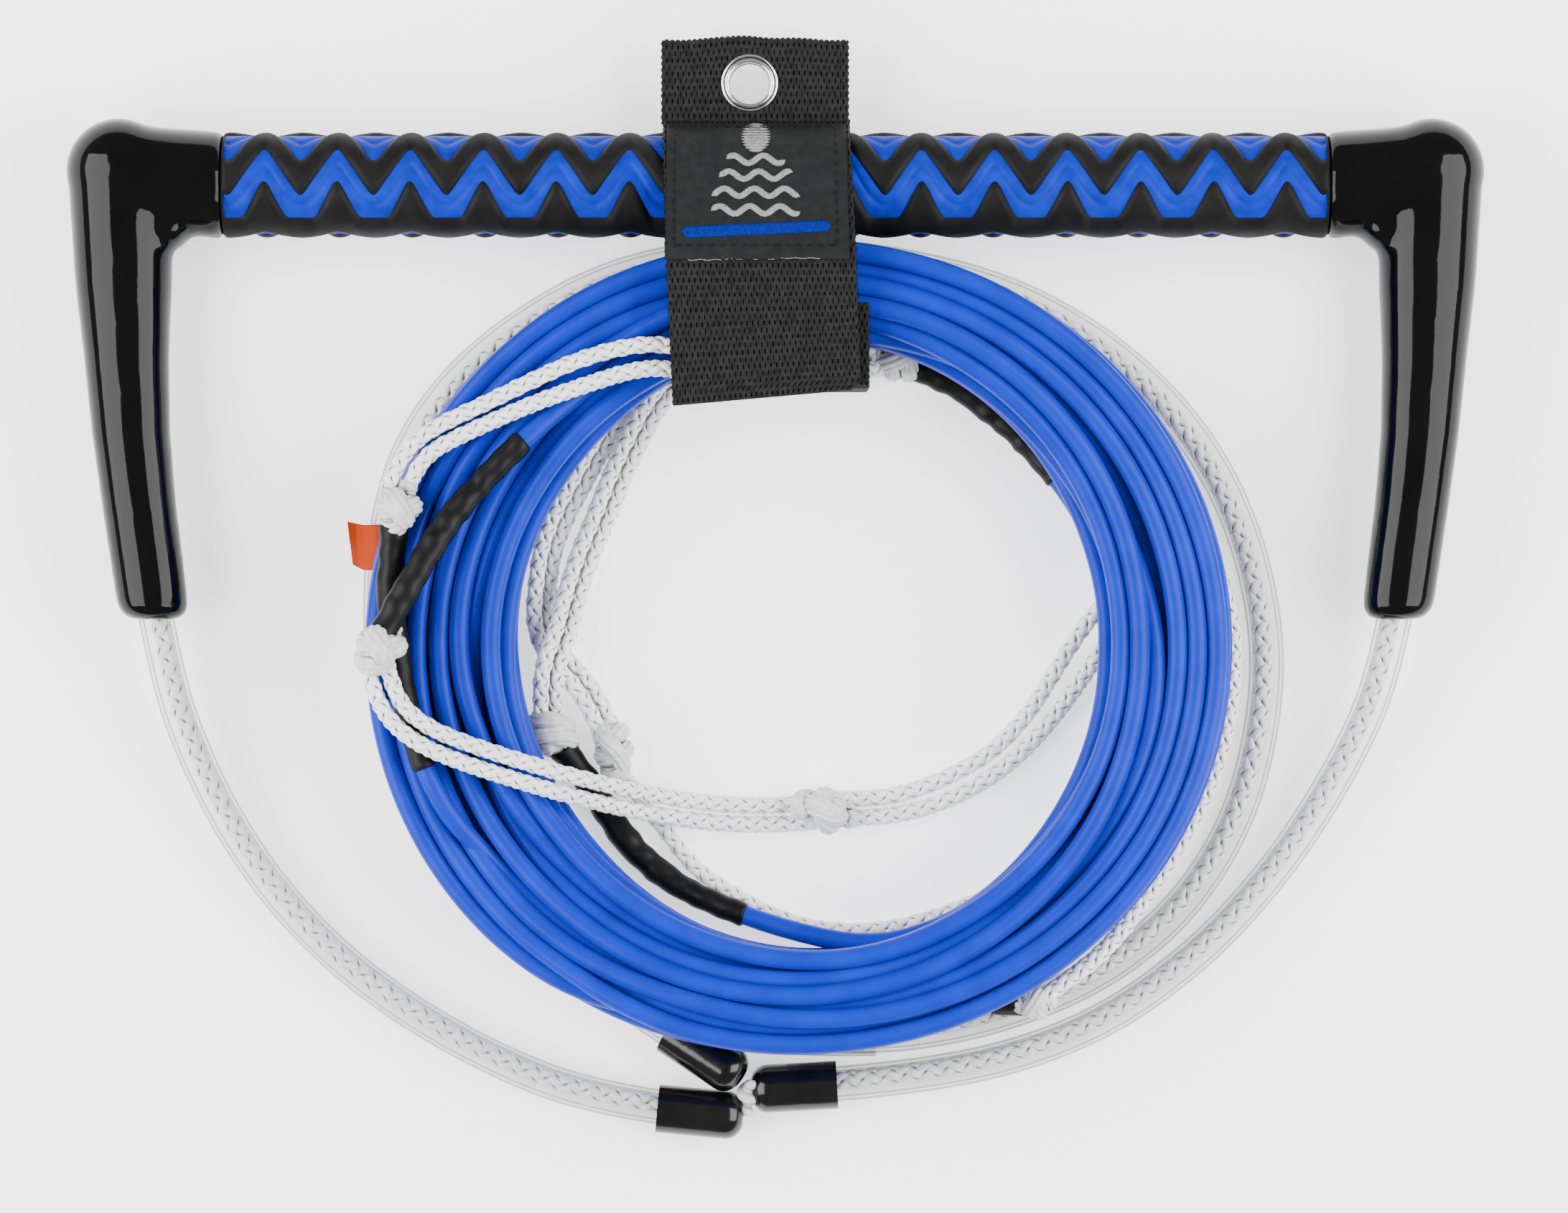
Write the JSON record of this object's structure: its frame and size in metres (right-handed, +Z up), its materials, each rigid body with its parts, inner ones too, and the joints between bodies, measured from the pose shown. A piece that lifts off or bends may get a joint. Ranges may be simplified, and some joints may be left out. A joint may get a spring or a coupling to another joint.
{
  "type": "tow rope handle",
  "caption": "Straight gripped bar with two short legs, a rope bridle in clear tube, a strapped coil of tow rope in knotted sections, and a hanging eyelet.",
  "frame": {"origin": "on the surface the part lies on, under the middle of the handle with its strap (bar, legs and strap, without the ropes)", "axes": "+X along the bar to the right, +Y from the ropes towards the hanging tab, +Z up off the surface"},
  "size_m": [0.3808, 0.2963, 0.0456],
  "materials": {
    "bar_aluminium": "plain drawn tube, hidden in the grip",
    "grip_blue": "satin, seen at the foot of the grooves",
    "grip_black": "satin moulded rubber",
    "fitting_black": "glossy dipped rubber",
    "clear_tube": "clear PVC",
    "rope_white": "plaited rope",
    "rope_blue": "plaited polyethylene rope",
    "sleeve_black": "shrunk satin sleeve",
    "cap_black": "glossy dipped vinyl",
    "tag_orange": "thin film",
    "webbing_black": "flat woven webbing",
    "hook_and_loop": "hook and loop tape",
    "patch_grey": null,
    "grommet_steel": "bright plated"
  },
  "bodies": {
    "handle": {"bar_tube": "bar_aluminium", "bridle_cap_left": "cap_black", "bridle_cap_right": "cap_black", "bridle_rope_left": "rope_white", "bridle_rope_right": "rope_white", "bridle_tube_left": "clear_tube", "bridle_tube_right": "clear_tube", "end_fitting_left": "fitting_black", "end_fitting_right": "fitting_black", "float_tag": "tag_orange", "grip_core": "grip_blue", "grip_cover": "grip_black", "handle_rope": "rope_white", "knot_a": "rope_white", "knot_b": "rope_white", "knot_c": "rope_white", "knot_d": "rope_white", "knot_e": "rope_white", "knot_f": "rope_white", "label_patch": "patch_grey", "lead_a": "rope_blue", "lead_b": "rope_blue", "lead_c": "rope_blue", "lead_d": "rope_blue", "lead_e": "rope_blue", "lead_f": "rope_blue", "loop_a": "rope_white", "loop_b": "rope_white", "loop_c": "rope_white", "loop_d": "rope_white", "loop_e": "rope_white", "loop_f": "rope_white", "loop_patch": "hook_and_loop", "mainline_coil": "rope_blue", "pigtail_knot": "rope_white", "pigtail_loop": "rope_white", "pigtail_rope": "rope_white", "sleeve_a": "sleeve_black", "sleeve_b": "sleeve_black", "sleeve_c": "sleeve_black", "sleeve_d": "sleeve_black", "sleeve_e": "sleeve_black", "sleeve_f": "sleeve_black", "stopper_knot": "rope_white", "strap_back": "webbing_black", "strap_front": "webbing_black", "trunk_cap": "cap_black", "trunk_end_sleeve": "cap_black", "trunk_rope": "rope_white", "trunk_tube": "clear_tube", "y_splice": "rope_white"},
    "strap_flap": {"strap_flap": "webbing_black", "hook_patch": "hook_and_loop"},
    "hang_tab": {"hang_tab": "webbing_black", "grommet": "grommet_steel", "grommet_washer": "grommet_steel"}
  },
  "joints": [
    {"name": "flap_bend", "type": "hinge", "parent": "handle", "child": "strap_flap", "pos_m": [0, 0.0168, 0.0443], "axis": [-1, 0, 0], "range_deg": [0, 150]},
    {"name": "tab_bend", "type": "hinge", "parent": "handle", "child": "hang_tab", "pos_m": [0, 0.0562, 0.016], "axis": [1, 0, 0], "range_deg": [-30, 70], "stiffness_Nm_per_rad": 0.04}
  ]
}
